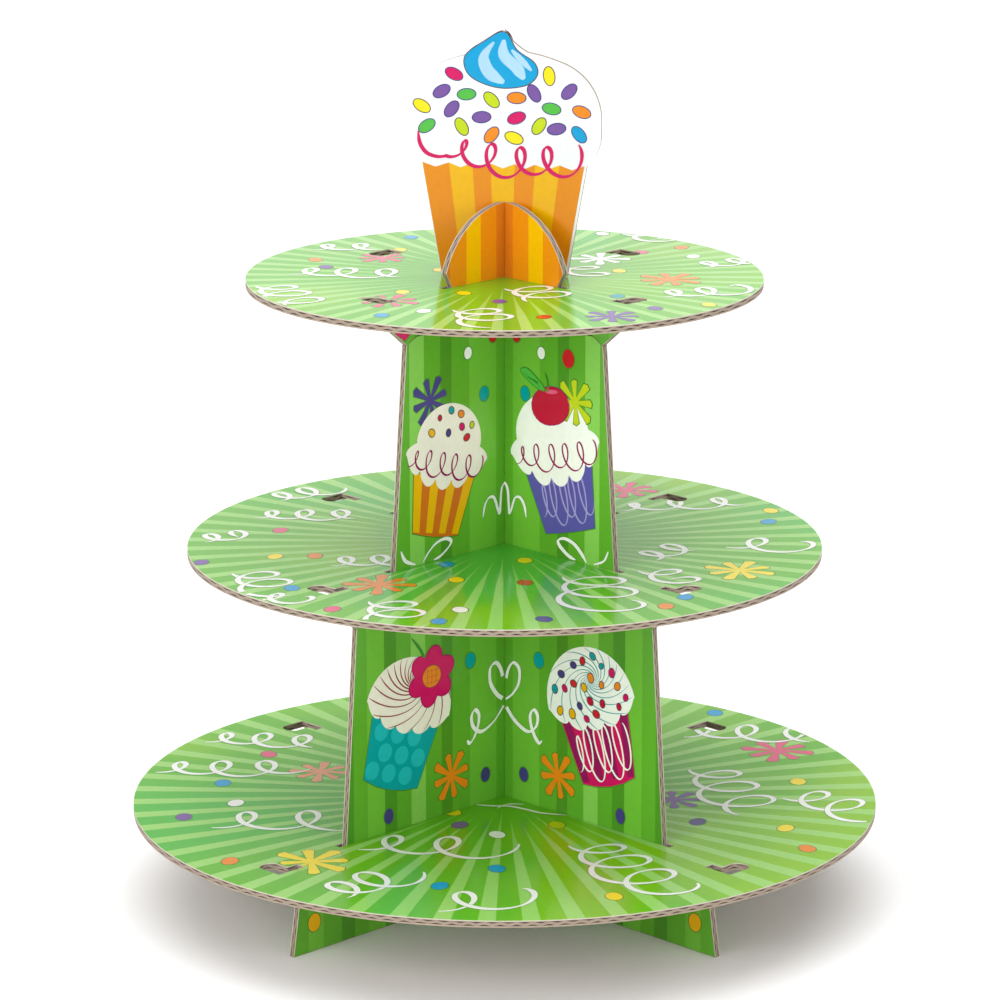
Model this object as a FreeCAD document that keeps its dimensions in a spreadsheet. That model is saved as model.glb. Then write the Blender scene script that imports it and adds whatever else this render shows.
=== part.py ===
"""Three-tier cardboard cake stand, as a parametric FreeCAD document (millimetres).

Ten die-cut boards slot together with no fastener: three round tiers, three crossed pairs of
upright panels and one picture panel on top.  Every board is a laminate, a corrugated core with a
printed sheet or a plain liner glued on each face, and each ply is a piece of its own.

The frame: +Z up, the origin on the floor under the middle of the stand, the front towards -Y.
The upright panels cross at right angles and stand along the two diagonals.
"""
import FreeCAD, Part
import Sketcher
import math
import os

# Driving dimensions.  Heights are along Z, and reaches are outwards from the middle line.
SIZES = {
    # every board
    "board": 2.8,             # thickness
    "sheet": 0.3,             # thickness of each sheet glued on a core
    "slot_play": 0.4,         # slot width over board thickness
    "seat_gap": 0.35,         # gap where a tier rests on the one below
    "floor_trim": 0.3,        # how far the sheets on the feet stop above the floor
    # bottom tier, and the panels that carry it
    "bottom_radius": 152.4,
    "foot_rise": 37.2,        # floor to the underside of the bottom tier
    "lower_base": 90.2,       # half width of the lower column at the bottom tier
    "lower_top": 83.5,        # half width of the lower column where it ends
    "shoulder_step": 22.8,    # shoulder of a foot past the column, under the bottom tier
    "foot_flare": 6.0,        # how much wider a foot is at the floor
    # middle tier, and the panels that carry it
    "middle_radius": 128.5,
    "lower_room": 104.7,      # clear height between the bottom and middle tiers
    "upper_base": 62.7,
    "upper_top": 55.5,
    # top tier, and the supports that carry it
    "top_radius": 103.4,
    "upper_room": 107.1,      # clear height between the middle and top tiers
    "support_neck": 30.6,     # half width of a support where it passes through the tier
    "support_reach": 33.7,    # half width of its bulge
    "support_bulge": 5.6,     # height of the bulge over the tier
    "support_rise": 30.3,     # height of its crown over the tier
    "support_crown": 35.6,    # radius of its crown
    # crossed slots in the tiers, longer than the panels that pass through them
    "slot_end_gap": 3.8,
    "top_slot_end_gap": 1.5,
    # feet of the upper panels and supports, and the column top that carries them
    "ear_drop": 17.1,         # depth of the feet under their tier
    "ear_reach": 12.2,        # how far the feet reach past the column, under the tier
    "ear_curve": 17.0,        # radius of the outside of the feet
    "toe_reach": 6.5,         # how far the toes reach past the column
    "toe_rise": 5.7,
    "seam_run": 5.5,          # sloping corner of the column top
    "seam_rise": 3.0,
    # hook-shaped hand holes near the rim of each tier
    "hook_width": 4.4,
    "lobe_width": 8.4,
    "lobe_length": 6.6,
    "lobe_curve": 4.7,
    "bottom_hook_margin": 19.4,
    "bottom_hook_length": 13.5,
    "bottom_hook_side": 6.6,
    "middle_hook_margin": 23.5,
    "middle_hook_length": 13.0,
    "middle_hook_side": 5.2,
    "top_hook_margin": 30.4,
    "top_hook_length": 9.8,
    "top_hook_side": 3.5,
    # picture panel, a cupcake in outline, which straddles the crossing of the supports
    "panel_turn": 9.0,        # degrees from the X axis, its right side forward
    "straddle_play": 0.8,     # each side of the crossing
    "wrapper_foot": 25.4,
    "wrapper_mouth": 33.2,
    "wrapper_rise": 45.6,
    "dome_reach": 38.8,
    "dome_low": 57.0,
    "dome_high": 64.5,
    "dome_shoulder": 22.0,
    "dome_shoulder_rise": 86.6,
    "dome_lip_curve": 16.0,
    "dome_curve": 24.0,
    "dome_crown_curve": 60.0,
    "swirl_left": 15.6,
    "swirl_left_rise": 88.6,
    "swirl_tip": 0.2,
    "swirl_tip_rise": 98.8,
    "swirl_right": 9.6,
    "swirl_right_rise": 90.0,
    "swirl_curve": 46.0,
    "swirl_hollow": 22.0,
}

DIAGONAL = 45.0  # degrees from the X axis to an upright panel

doc = FreeCAD.newDocument("tiered_cake_stand")
sizes = doc.addObject("Spreadsheet::Sheet", "Sizes")
for row, (size_name, number) in enumerate(SIZES.items(), start=1):
    sizes.set(f"A{row}", size_name)
    sizes.set(f"B{row}", str(number))
    sizes.setAlias(f"B{row}", size_name)
doc.recompute()


class Size:
    """A length as sheet arithmetic: its text is bound to a property, its number starts a sketch."""

    def __init__(self, text, number):
        self.text = text
        self.number = number

    def __add__(self, other):
        return Size(f"({self.text} + {other.text})", self.number + other.number)

    def __sub__(self, other):
        return Size(f"({self.text} - {other.text})", self.number - other.number)

    def __neg__(self):
        return Size(f"(0 mm - {self.text})", -self.number)

    def __mul__(self, factor):
        return Size(f"({self.text} * {factor})", self.number * factor)


def cell(name):
    """The Size of one cell of the sheet."""
    return Size(f"Sizes.{name} * 1 mm", SIZES[name])


ZERO = Size("0 mm", 0.0)
BOARD = cell("board")
SHEET = cell("sheet")
CORE = BOARD - SHEET * 2
HALF_SLOT = (BOARD + cell("slot_play")) * 0.5
GAP = cell("seat_gap")

# Heights, from the floor up.  A seam is where a column ends, at its outer corner, and the two
# panels of a pair cross at half their height.
BOTTOM_UNDER = cell("foot_rise")
BOTTOM_FACE = BOTTOM_UNDER + BOARD
MIDDLE_UNDER = BOTTOM_FACE + cell("lower_room")
MIDDLE_FACE = MIDDLE_UNDER + BOARD
TOP_UNDER = MIDDLE_FACE + cell("upper_room")
TOP_FACE = TOP_UNDER + BOARD
LOWER_SEAM = MIDDLE_UNDER - cell("ear_drop")
UPPER_SEAM = TOP_UNDER - cell("ear_drop")
LOWER_END = LOWER_SEAM + cell("seam_rise")
UPPER_END = UPPER_SEAM + cell("seam_rise")
CROWN = TOP_FACE + cell("support_rise")
LOWER_CROSSING = LOWER_END * 0.5
UPPER_CROSSING = (LOWER_END + GAP + UPPER_END) * 0.5
SUPPORT_CROSSING = (UPPER_END + GAP + CROWN) * 0.5
PANEL_FOOT = TOP_FACE + GAP


# Outlines -----------------------------------------------------------------------------------
# An outline is a closed run of corners, anticlockwise.  A corner is (x, y, radius, bend): radius
# is None where a straight side reaches the corner, or that of the arc that does, and bend is 1
# for an arc that turns left, as a convex one does, and -1 for one that turns right.

def corner(x, y, radius=None, bend=1):
    return (x, y, radius, bend)


def arc_middle(start, end, radius, bend):
    """The middle of the shorter arc of this radius from start to end."""
    run = end[0] - start[0]
    rise = end[1] - start[1]
    chord = math.hypot(run, rise)
    sag = radius - math.sqrt(radius ** 2 - chord ** 2 / 4)
    middle_x = (start[0] + end[0]) / 2 + bend * sag * rise / chord
    middle_y = (start[1] + end[1]) / 2 - bend * sag * run / chord
    return FreeCAD.Vector(middle_x, middle_y, 0)


def bind(sketch, kind, *parts, size):
    """Adds a constraint whose value is tied to the sheet."""
    index = sketch.addConstraint(Sketcher.Constraint(kind, *parts, size.number))
    sketch.setExpression(f"Constraints[{index}]", size.text)


def draw_outline(sketch, corners):
    """Draws a closed outline with every corner and radius bound to the sheet."""
    points = [(x.number, y.number) for x, y, radius, bend in corners]
    edges = []
    for index, (x, y, radius, bend) in enumerate(corners):
        begin = FreeCAD.Vector(*points[index - 1], 0)
        finish = FreeCAD.Vector(*points[index], 0)
        if radius is None:
            edge = sketch.addGeometry(Part.LineSegment(begin, finish))
        else:
            middle = arc_middle(points[index - 1], points[index], radius.number, bend)
            # A sketch turns every arc to the left, so one that bends right is drawn backwards.
            ends = (begin, finish) if bend > 0 else (finish, begin)
            edge = sketch.addGeometry(Part.Arc(ends[0], middle, ends[1]))
        backwards = radius is not None and bend < 0
        edges.append((edge, 2, 1) if backwards else (edge, 1, 2))
    for index, (edge, head, tail) in enumerate(edges):
        following, next_head, next_tail = edges[(index + 1) % len(edges)]
        sketch.addConstraint(Sketcher.Constraint("Coincident", edge, tail, following, next_head))
    for (edge, head, tail), (x, y, radius, bend) in zip(edges, corners):
        bind(sketch, "DistanceX", -1, 1, edge, tail, size=x)
        bind(sketch, "DistanceY", -1, 1, edge, tail, size=y)
        if radius is not None:
            bind(sketch, "Radius", edge, size=radius)


def both_sides(right_side):
    """A whole outline from its right side, whose corners run upwards from the bottom."""
    left_side = []
    for index, (x, y, radius, bend) in enumerate(right_side):
        # Going down the left, the side above a corner is the one that leads to it.
        above = right_side[index + 1] if index + 1 < len(right_side) else corner(x, y)
        if x is not ZERO:
            left_side.insert(0, corner(-x, y, above[2], above[3]))
    return right_side + left_side


# Plies and boards ---------------------------------------------------------------------------

def make_ply(name, role, outlines, offset, thickness, turn):
    """One flat ply: outlines on one of the body's own planes, padded to the ply's thickness."""
    body = doc.addObject("PartDesign::Body", name)
    body.Label = name
    sketch = body.newObject("Sketcher::SketchObject", name + "_outline")
    plane = [feature for feature in body.Origin.OriginFeatures if feature.Role == role][0]
    sketch.AttachmentSupport = [(plane, "")]
    sketch.MapMode = "FlatFace"
    sketch.setExpression("AttachmentOffset.Base.z", offset.text)
    for outline in outlines:
        draw_outline(sketch, outline)
    pad = body.newObject("PartDesign::Pad", name + "_pad")
    pad.Profile = sketch
    pad.setExpression("Length", thickness.text)
    body.Placement.Rotation = FreeCAD.Rotation(FreeCAD.Vector(0, 0, 1), turn)


def round_rim(radius):
    """A circle as an outline of four arcs."""
    return [
        corner(radius, ZERO, radius),
        corner(ZERO, radius, radius),
        corner(-radius, ZERO, radius),
        corner(ZERO, -radius, radius),
    ]


def quarter_turns(x, y, count):
    """A point turned about the middle by a number of quarter turns."""
    for step in range(count):
        x, y = -y, x
    return x, y


def crossed_slot(reach):
    """Two slots that cross in the middle, along X and Y."""
    arm = [(reach, -HALF_SLOT), (reach, HALF_SLOT), (HALF_SLOT, HALF_SLOT)]
    return [corner(*quarter_turns(x, y, quarter)) for quarter in range(4) for x, y in arm]


def hook_hole(quarter, outer, length, side):
    """A hook-shaped hole: an arm along the radius, and a rounded lobe across its outer end.

    The holes mirror one another left to right and front to back, so each is the other hand.
    """
    hand = -1 if quarter % 2 else 1
    inner = outer - length
    lobe = outer - cell("lobe_width")
    near = side - cell("hook_width") * 0.5
    far = side + cell("hook_width") * 0.5
    tip = near - cell("lobe_length")
    shape = [
        (inner, near, None),
        (inner, far, None),
        (outer, far, None),
        (outer, tip, None),
        (lobe, tip, cell("lobe_curve")),
        (lobe, near, None),
    ]
    return [corner(*quarter_turns(x, y * hand, quarter), radius, -hand) for x, y, radius in shape]


def make_tier(name, face, radius, slot_reach, hook):
    """A round tier: printed sheet, core and plain liner, with a crossed slot and four hooks."""
    outer = radius - cell(hook + "_margin")
    outlines = [round_rim(radius), crossed_slot(slot_reach)]
    for quarter in range(4):
        outlines.append(hook_hole(quarter, outer, cell(hook + "_length"), cell(hook + "_side")))
    under = face - BOARD
    make_ply(name + "_underside_liner", "XY_Plane", outlines, under, SHEET, DIAGONAL)
    make_ply(name + "_core", "XY_Plane", outlines, under + SHEET, CORE, DIAGONAL)
    make_ply(name + "_printed_sheet", "XY_Plane", outlines, face - SHEET, SHEET, DIAGONAL)


def make_panel(name, core_outline, sheet_outline, turn):
    """An upright board: a core between two printed sheets.  Its planes face -Y before the turn."""
    half = BOARD * 0.5
    make_ply(name + "_back_sheet", "XZ_Plane", [sheet_outline], -half, SHEET, turn)
    make_ply(name + "_core", "XZ_Plane", [core_outline], SHEET - half, CORE, turn)
    make_ply(name + "_front_sheet", "XZ_Plane", [sheet_outline], half - SHEET, SHEET, turn)


def make_crossed_pair(name, core_outline, sheet_outline):
    """Two panels that cross at half height, one slotted from the top and one from the bottom."""
    make_panel(name + "_right", core_outline(True), sheet_outline(True), -DIAGONAL)
    make_panel(name + "_left", core_outline(False), sheet_outline(False), DIAGONAL)


def slotted(side, foot, crossing, head, from_top):
    """Both sides of a panel, with its half slot cut to the crossing from the top or the bottom."""
    slot_end = corner(HALF_SLOT, crossing)
    if not from_top:
        return both_sides([slot_end, corner(HALF_SLOT, foot)] + side)
    if side[-1][0] is not HALF_SLOT:
        side = side + [corner(HALF_SLOT, head)]
    return both_sides(side + [slot_end])


def column_top(width, seam):
    """The end of a column: its outer corner, cut to a slope that centres what stands on it."""
    return [corner(width, seam), corner(width - cell("seam_run"), seam + cell("seam_rise"))]


def feet(width, seam, under):
    """The feet that stand on a column, from the underside of the seam to the tier they carry."""
    run = cell("seam_run")
    rise = cell("seam_rise")
    return [
        corner(width - run, seam + rise + GAP),
        corner(width, seam + GAP),
        corner(width + cell("toe_reach"), seam + cell("toe_rise")),
        corner(width + cell("ear_reach"), under, cell("ear_curve")),
    ]


# The lower panels: feet on the floor, shoulders under the bottom tier, and the lower column.
def lower_panel(floor, from_top):
    base = cell("lower_base")
    shoulder = base + cell("shoulder_step")
    side = [
        corner(shoulder + cell("foot_flare"), floor),
        corner(shoulder, BOTTOM_UNDER),
        corner(base, BOTTOM_UNDER),
    ]
    side += column_top(cell("lower_top"), LOWER_SEAM)
    return slotted(side, floor, LOWER_CROSSING, LOWER_END, from_top)


# The upper panels: feet on the lower column, shoulders under the middle tier, upper column.
def upper_panel(from_top):
    base = cell("upper_base")
    side = feet(cell("lower_top"), LOWER_SEAM, MIDDLE_UNDER) + [corner(base, MIDDLE_UNDER)]
    side += column_top(cell("upper_top"), UPPER_SEAM)
    return slotted(side, LOWER_END + GAP, UPPER_CROSSING, UPPER_END, from_top)


# The supports: feet on the upper column, shoulders under the top tier, and a round crown above.
def support(from_top):
    neck = cell("support_neck")
    side = feet(cell("upper_top"), UPPER_SEAM, TOP_UNDER)
    side.append(corner(neck, TOP_UNDER))
    side.append(corner(neck, TOP_FACE))
    side.append(corner(cell("support_reach"), TOP_FACE + cell("support_bulge")))
    crown = [corner(HALF_SLOT if from_top else ZERO, CROWN, cell("support_crown"))]
    return slotted(side + crown, UPPER_END + GAP, SUPPORT_CROSSING, CROWN, from_top)


# The picture panel: a cupcake in outline, open at the foot where it straddles the crossing.
def cupcake():
    crossing = math.radians(DIAGONAL - SIZES["panel_turn"])
    straddle = BOARD * ((1 + math.cos(crossing)) / (2 * math.sin(crossing))) + cell("straddle_play")
    slot_head = CROWN + GAP * 2
    mouth = TOP_FACE + cell("wrapper_rise")
    low = TOP_FACE + cell("dome_low")
    high = TOP_FACE + cell("dome_high")
    shoulder = TOP_FACE + cell("dome_shoulder_rise")
    reach = cell("dome_reach")
    right = [
        corner(straddle, slot_head),
        corner(straddle, PANEL_FOOT),
        corner(cell("wrapper_foot"), PANEL_FOOT),
        corner(cell("wrapper_mouth"), mouth),
        corner(reach, low, cell("dome_lip_curve")),
        corner(reach, high),
        corner(cell("dome_shoulder"), shoulder, cell("dome_curve")),
    ]
    whole = both_sides(right)
    crown_curve = cell("dome_crown_curve")
    swirl = [
        corner(cell("swirl_right"), TOP_FACE + cell("swirl_right_rise"), crown_curve),
        corner(cell("swirl_tip"), TOP_FACE + cell("swirl_tip_rise"), cell("swirl_hollow"), -1),
        corner(-cell("swirl_left"), TOP_FACE + cell("swirl_left_rise"), cell("swirl_curve")),
    ]
    left = whole[len(right):]
    left[0] = corner(*left[0][:2], crown_curve)
    return right + swirl + left


make_tier("bottom_tier", BOTTOM_FACE, cell("bottom_radius"), cell("lower_base") + cell("slot_end_gap"),
          "bottom_hook")
make_tier("middle_tier", MIDDLE_FACE, cell("middle_radius"), cell("upper_base") + cell("slot_end_gap"),
          "middle_hook")
make_tier("top_tier", TOP_FACE, cell("top_radius"), cell("support_reach") + cell("top_slot_end_gap"),
          "top_hook")
make_crossed_pair("lower_panel", lambda from_top: lower_panel(ZERO, from_top),
                  lambda from_top: lower_panel(cell("floor_trim"), from_top))
make_crossed_pair("upper_panel", upper_panel, upper_panel)
make_crossed_pair("topper_support", support, support)
make_panel("cupcake_topper", cupcake(), cupcake(), -SIZES["panel_turn"])

doc.recompute()

# Check the whole document before anything is written.
for item in doc.Objects:
    if "Invalid" in item.State or "Error" in item.State:
        raise RuntimeError(f"{item.Name} is {item.State}")
bodies = [item for item in doc.Objects if item.TypeId == "PartDesign::Body"]
for body in bodies:
    if body.Shape.isNull() or not body.Shape.isValid() or len(body.Shape.Solids) != 1:
        raise RuntimeError(f"{body.Label} isn't one valid solid")

os.makedirs("parts", exist_ok=True)
for body in bodies:
    body.Shape.exportStep(f"parts/{body.Label}.step")
    print(f"{body.Label}: {body.Shape.Volume:.1f} mm3")
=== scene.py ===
"""Looks for the three-tier cardboard cake stand.

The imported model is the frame.  Its printed sheets and liners stay, and get their materials here.
Each plain core is replaced by real corrugated board: a wavy sheet between two liners.  The print
on every face is thin flat artwork, drawn in millimetres and laid over the sheet that carries it.
"""
import bpy
import math
import random
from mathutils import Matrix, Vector


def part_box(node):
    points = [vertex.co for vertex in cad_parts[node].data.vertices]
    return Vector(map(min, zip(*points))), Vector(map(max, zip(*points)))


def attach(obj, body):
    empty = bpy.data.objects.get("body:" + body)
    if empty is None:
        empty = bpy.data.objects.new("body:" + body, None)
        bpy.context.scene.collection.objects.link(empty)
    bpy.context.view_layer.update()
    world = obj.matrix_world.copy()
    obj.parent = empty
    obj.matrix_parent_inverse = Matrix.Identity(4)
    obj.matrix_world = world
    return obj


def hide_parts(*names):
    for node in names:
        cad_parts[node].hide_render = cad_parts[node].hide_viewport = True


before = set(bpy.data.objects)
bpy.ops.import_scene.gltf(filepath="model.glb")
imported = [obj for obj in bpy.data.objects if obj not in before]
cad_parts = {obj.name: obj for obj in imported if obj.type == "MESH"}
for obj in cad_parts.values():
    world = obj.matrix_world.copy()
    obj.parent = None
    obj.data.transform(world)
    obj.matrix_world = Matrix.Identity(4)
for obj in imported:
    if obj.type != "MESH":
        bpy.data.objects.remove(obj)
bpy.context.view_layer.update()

MM = 0.001
UP = Vector((0, 0, 1))
TURN = 2 * math.pi

# Corrugated board, in metres
FLUTE_PITCH = 6.1 * MM
FLUTE_STEPS = 14  # cuts through one flute
LINER = 0.3 * MM
MEDIUM = 1.05 * MM  # the fluted paper, as thick as a crushed edge makes it look
HAIR = 0.002 * MM  # how far beside a corner of the outline a cut is made
SAME_STRIP = 0.15 * MM  # cuts nearer than this at their ends are one strip

# How much the varnish mirrors, by the flutes' axis: X on tiers, Z on upright boards
GLOSS = {"X": 0.5, "Z": 0.22}

# The sunburst on a tier; distances in metres from its middle
RAYS = 56
RAY_SHARE = 0.4  # share of the circle under the rays, where they are widest
RAY_START = 0.018  # where the innermost rays start
RAY_SPREAD = 0.024  # how much farther out the outermost start
RAY_GROWTH = 0.045  # distance over which a ray reaches its full width

# Print, in millimetres
LIFT = 0.02  # height of one layer of print over the next
LINE = 0.4  # width of the thin darker line round a printed shape
RIM_MARGIN = 0.3  # how far inside a tier's rim the print stops
CELL_RINGS = 12  # rings of cells in a shape that meets a hole

# Printed shapes
STAR_PETALS = 8
OVAL_POINTS = 28
CURVE_STEPS = 8  # points on a smooth curve between two that are given
LOOP_POINTS = 46  # points round one loop of a looping line
SWIRL_POINTS = 60
SWIRL_EYE = 1.5  # radius of a swirl's bare middle
SWIRL_FLATNESS = 0.8
SHARPEST = 0.35  # limits how far a sharp corner's outline runs out

# Pen strokes
NIB_ANGLE = 0.7  # in radians
NIB_THINNEST = 0.4  # share of the width in a stroke along the nib
TIP = 0.3  # share of the width at a stroke's two ends
TIP_POINTS = 8  # points over which a stroke gains its whole width
CLIMB = 2.0  # layers that a stroke rises by, so that it can cross itself

WALL_TURNS = (-45, 45, 135, 225)  # degrees from facing front, for each wall of a column


# --- Colours ---

def screen(red, green, blue):
    """A screen colour, 0 to 255, as a linear colour."""
    def convert(value):
        value /= 255
        return value / 12.92 if value <= 0.04045 else ((value + 0.055) / 1.055) ** 2.4
    return (convert(red), convert(green), convert(blue), 1.0)


def screens(colours):
    return {name: screen(*colour) for name, colour in colours.items()}


def darker(colour, share):
    return tuple(value * share for value in colour[:3]) + (1.0,)


INKS = screens({
    "white": (250, 252, 246), "cream": (244, 238, 224), "leaf_line": (70, 132, 36),
    "dark_line": (84, 62, 70), "yellow": (250, 226, 20), "gold": (238, 182, 8),
    "wrapper_orange": (232, 142, 16), "wrapper_yellow": (240, 182, 5), "orange": (240, 138, 24),
    "burnt_orange": (214, 112, 26), "salmon": (244, 160, 120), "pink": (232, 92, 130),
    "magenta": (212, 12, 98), "deep_magenta": (150, 16, 92), "red": (206, 32, 40),
    "cherry": (196, 10, 52), "brown_red": (150, 62, 62), "purple": (120, 84, 160),
    "indigo": (70, 62, 132), "violet_blue": (92, 88, 172), "lilac": (168, 162, 220),
    "blue": (0, 158, 214), "pale_blue": (172, 212, 240), "teal": (0, 160, 166),
    "pale_teal": (30, 184, 190), "lime": (196, 214, 20), "green": (84, 186, 70), "leaf": (58, 140, 40)})
GREEN = screen(100, 180, 34)
GREEN_YELLOW = screen(136, 192, 16)
GREEN_TEAL = screen(82, 182, 60)
RAY = screen(146, 206, 96)
RAY_PALE = screen(164, 216, 120)
STRIPES = screens({
    "dark": (80, 150, 38), "mid": (98, 174, 46), "light": (114, 190, 58), "pale": (138, 206, 88),
    "orange": (230, 140, 18), "yellow": (240, 182, 6), "deep": (216, 120, 26)})
KRAFT = screen(178, 162, 146)
KRAFT_SHADOW = screen(138, 120, 104)
FLUTE_BROWN = screen(168, 152, 136)
FLUTE_SHADOW = screen(128, 112, 98)
PAPER_EDGE = screen(216, 208, 196)
PAPER_EDGE_SHADOW = screen(184, 172, 158)
SHEET_WHITE = screen(228, 228, 231)
SHEET_SHADE = screen(217, 219, 223)

# Width in mm and shade of each stripe, from the corner of a column outwards
COLUMN_STRIPES = [
    (6, "mid"), (8, "light"), (7, "light"), (10, "mid"), (6, "dark"), (9, "mid"), (8, "pale"), (8, "mid"),
    (7, "dark"), (9, "light"), (8, "mid"), (7, "dark"), (10, "mid"), (8, "light"), (10, "mid")]
SUPPORT_STRIPES = [
    (6, "deep"), (8.5, "orange"), (8, "yellow"), (9, "orange"), (8.5, "deep"), (9, "orange"), (9, "yellow"),
    (12, "orange")]
EAR_STRIPES = [
    (8, "mid"), (8, "dark"), (9, "mid"), (8, "light"), (9, "mid"), (8, "dark"), (9, "mid"), (12, "light")]


# --- Materials ---

# How fine each pattern of noise is: higher is finer
GLOSS_PATCHES = 36
INK_MOTTLE = 420
SHEET_GRAIN = 800
CUT_PAPER = 1200
KRAFT_GRAIN = 1500
KRAFT_SPECKS = 2600
LINER_FIBRES, MEDIUM_FIBRES = 300, 500


class Recipe:
    """A material being written, with short ways to add nodes."""

    def __init__(self, name):
        self.material = bpy.data.materials.new(name)
        self.material.use_nodes = True
        self.tree = self.material.node_tree
        self.shader = self.tree.nodes["Principled BSDF"]

    def put(self, socket, value):
        if isinstance(value, bpy.types.NodeSocket):
            self.tree.links.new(value, socket)
        else:
            socket.default_value = value

    def node(self, kind, inputs=None, **settings):
        made = self.tree.nodes.new(kind)
        for key, value in settings.items():
            setattr(made, key, value)
        for socket, value in (inputs or {}).items():
            self.put(made.inputs[socket], value)
        return made

    def maths(self, operation, first, second=0.0):
        return self.node("ShaderNodeMath", {0: first, 1: second}, operation=operation).outputs[0]

    def blend(self, factor, first, second, mode="MIX"):
        made = self.node("ShaderNodeMix", data_type="RGBA", blend_type=mode)
        for socket, value in zip((made.inputs[0], made.inputs[6], made.inputs[7]), (factor, first, second)):
            self.put(socket, value)
        return made.outputs[2]

    def place(self):
        return self.node("ShaderNodeTexCoord").outputs["Object"]

    def dot(self, first, second):
        made = self.node("ShaderNodeVectorMath", {0: first, 1: second}, operation="DOT_PRODUCT")
        return made.outputs["Value"]

    def noise(self, scale, detail=2.0, rough=0.5):
        return self.node("ShaderNodeTexNoise", {"Vector": self.place(), "Scale": scale, "Detail": detail,
                                                "Roughness": rough}).outputs["Fac"]

    def ramp(self, factor, stops, constant=False):
        made = self.node("ShaderNodeValToRGB", {"Fac": factor})
        made.color_ramp.interpolation = "CONSTANT" if constant else "LINEAR"
        elements = made.color_ramp.elements
        while len(elements) < len(stops):
            elements.new(1.0)
        for element, (position, colour) in zip(elements, stops):
            element.position = position
            element.color = colour
        return made.outputs["Color"]

    def grey(self, factor, low, dark, high, light):
        """A grey that goes from dark to light as the factor goes from low to high."""
        return self.ramp(factor, [(low, (dark, dark, dark, 1)), (high, (light, light, light, 1))])

    def bump(self, height, strength, distance, over=None):
        made = self.node("ShaderNodeBump", {"Height": height, "Strength": strength, "Distance": distance})
        if over:
            self.put(made.inputs["Normal"], over)
        return made.outputs[0]

    def finish(self, inputs):
        """Gives the shader its inputs, and returns the material."""
        for socket, value in inputs.items():
            self.put(self.shader.inputs[socket], value)
        return self.material

    def face_or_edge(self, facing, printed):
        """The print where a sheet faces along facing, and bare paper on its cut edge."""
        normal = self.node("ShaderNodeTexCoord").outputs["Normal"]
        on_face = self.maths("GREATER_THAN", self.maths("ABSOLUTE", self.dot(normal, facing)), 0.5)
        paper = self.blend(self.noise(CUT_PAPER, 3), PAPER_EDGE, PAPER_EDGE_SHADOW)
        return self.blend(on_face, paper, printed)

    def varnished(self, colour, flutes):
        """A glossy print: slight mottle, and the board's flutes and paper grain in the gloss."""
        mottle = self.grey(self.noise(INK_MOTTLE, 3), 0.3, 0.95, 0.7, 1.0)
        waves = self.node("ShaderNodeTexWave", {"Vector": self.place(), "Distortion": 0.5,
                                                "Scale": TURN / (20 * FLUTE_PITCH)}, bands_direction=flutes)
        washboard = self.bump(waves.outputs["Fac"], 0.3, 0.03 * MM)
        return self.finish({"Base Color": self.blend(1.0, colour, mottle, "MULTIPLY"),
                            "Roughness": self.grey(self.noise(GLOSS_PATCHES, 3), 0.3, 0.13, 0.75, 0.2),
                            "IOR": 1.5, "Specular IOR Level": GLOSS[flutes],
                            "Normal": self.bump(self.noise(SHEET_GRAIN, 4), 0.3, 0.012 * MM, washboard)})


def raw_card(name, light, dark, scale):
    """Uncoated kraft paper: long fibres, dark specks and a dull, slightly furry surface."""
    made = Recipe(name)
    fibres = made.blend(made.noise(scale, 6, 0.7), dark, light)
    specks = made.grey(made.noise(KRAFT_SPECKS), 0.28, 0.6, 0.4, 1.0)
    return made.finish({"Base Color": made.blend(0.7, fibres, specks, "MULTIPLY"),
                        "Roughness": 0.9, "Sheen Weight": 0.1,
                        "Normal": made.bump(made.noise(KRAFT_GRAIN, 5, 0.7), 0.5, 0.1 * MM)})


def sunburst(name, ray_at):
    """Printed green with pale rays that start at different distances and widen outwards.

    One ray is centred ray_at degrees round from +X.
    """
    made = Recipe(name)
    maths = made.maths
    parts = made.node("ShaderNodeSeparateXYZ", {0: made.place()}).outputs
    angle = maths("ARCTAN2", parts["Y"], parts["X"])
    radius = maths("SQRT", maths("ADD", maths("POWER", parts["X"], 2.0), maths("POWER", parts["Y"], 2.0)))
    turns = maths("ADD", maths("MULTIPLY", angle, RAYS / TURN), RAYS + 0.5 - RAYS * ray_at / 360)
    chance = made.node("ShaderNodeTexWhiteNoise", {"W": maths("FLOOR", turns)}, noise_dimensions="1D")
    start = maths("ADD", maths("MULTIPLY", chance.outputs["Value"], RAY_SPREAD), RAY_START)
    growth = maths("MINIMUM", maths("DIVIDE", maths("SUBTRACT", radius, start), RAY_GROWTH), 1.0)
    off_centre = maths("ABSOLUTE", maths("SUBTRACT", maths("FRACT", turns), 0.5))
    ray = maths("LESS_THAN", off_centre, maths("MULTIPLY", growth, RAY_SHARE / 2))
    paleness = maths("ADD", maths("MULTIPLY", growth, 0.45), 0.5)
    yellower = made.grey(made.noise(11, 1), 0.5, 0, 0.68, 1)
    bluer = made.grey(made.noise(9, 0), 0.27, 1, 0.4, 0)
    ground = made.blend(bluer, made.blend(yellower, GREEN, GREEN_YELLOW), GREEN_TEAL)
    pale = made.blend(made.noise(14), RAY, RAY_PALE)
    printed = made.blend(maths("MULTIPLY", ray, paleness), ground, pale)
    return made.varnished(made.face_or_edge(UP, printed), "X")


def stripes(made, reach, widths):
    """Constant stripes along reach, in metres."""
    total = sum(width for width, shade in widths)
    stops, edge = [], 0
    for width, shade in widths:
        stops.append((edge / total, STRIPES[shade]))
        edge += width
    return made.ramp(made.maths("DIVIDE", reach, total * MM), stops, constant=True)


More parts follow.
